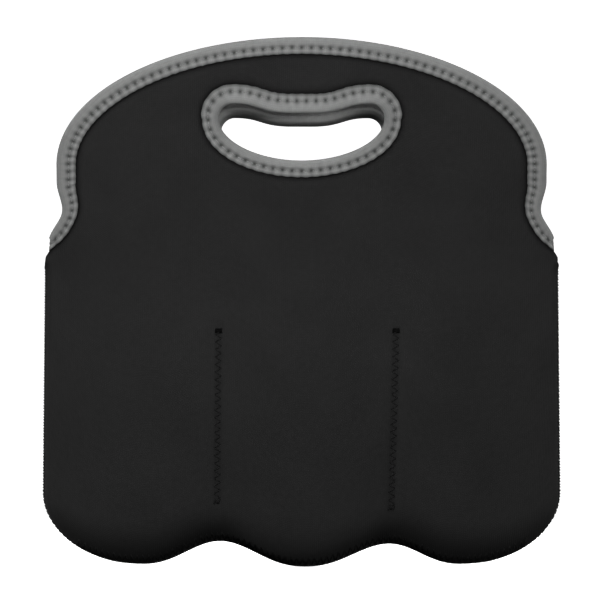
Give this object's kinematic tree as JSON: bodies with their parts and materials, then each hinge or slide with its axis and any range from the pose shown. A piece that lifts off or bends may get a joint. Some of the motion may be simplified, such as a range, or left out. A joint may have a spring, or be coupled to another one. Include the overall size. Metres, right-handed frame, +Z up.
{
  "type": "neoprene bottle carrier",
  "caption": "Soft flat tote of sewn neoprene with a scalloped bottom, divided pockets for bottles, and two arched handle leaves with bound hand holes.",
  "frame": {"origin": "on the floor under the middle of the standing bag", "axes": "+Z up; -Y out of the front panel; X along the bag's width"},
  "size_m": [0.2956, 0.0714, 0.2996],
  "materials": {
    "neoprene": "black knitted jersey on closed-cell neoprene, matt",
    "lining_neoprene": "black jersey on thinner neoprene, matt",
    "binding_tape": "grey woven binding tape, matt",
    "sewing_thread": "black sewing thread, slight sheen"
  },
  "bodies": {
    "bag_body": {"front_panel": "neoprene", "front_left_pocket_wall": "lining_neoprene", "front_left_divider_seam": "sewing_thread", "front_left_binding_end": "binding_tape", "front_right_pocket_wall": "lining_neoprene", "front_right_divider_seam": "sewing_thread", "front_right_binding_end": "binding_tape", "back_panel": "neoprene", "back_left_pocket_wall": "lining_neoprene", "back_left_divider_seam": "sewing_thread", "back_left_binding_end": "binding_tape", "back_right_pocket_wall": "lining_neoprene", "back_right_divider_seam": "sewing_thread", "back_right_binding_end": "binding_tape", "centre_divider": "lining_neoprene", "left_side_seam": "sewing_thread", "right_side_seam": "sewing_thread", "bottom_seam": "sewing_thread"},
    "front_handle": {"front_handle_leaf": "neoprene", "front_edge_binding": "binding_tape", "front_hand_hole_binding": "binding_tape"},
    "back_handle": {"back_handle_leaf": "neoprene", "back_edge_binding": "binding_tape", "back_hand_hole_binding": "binding_tape"}
  },
  "joints": [
    {"name": "front_handle_fold", "type": "hinge", "parent": "bag_body", "child": "front_handle", "pos_m": [0, -0.01215, 0.203], "axis": [1, 0, 0], "range_deg": [-17, 63], "stiffness_Nm_per_rad": 0.1, "springref_deg": -1.32},
    {"name": "back_handle_fold", "type": "hinge", "parent": "bag_body", "child": "back_handle", "pos_m": [0, 0.01215, 0.203], "axis": [-1, 0, 0], "range_deg": [-17, 63], "stiffness_Nm_per_rad": 0.1, "springref_deg": -1.32}
  ]
}
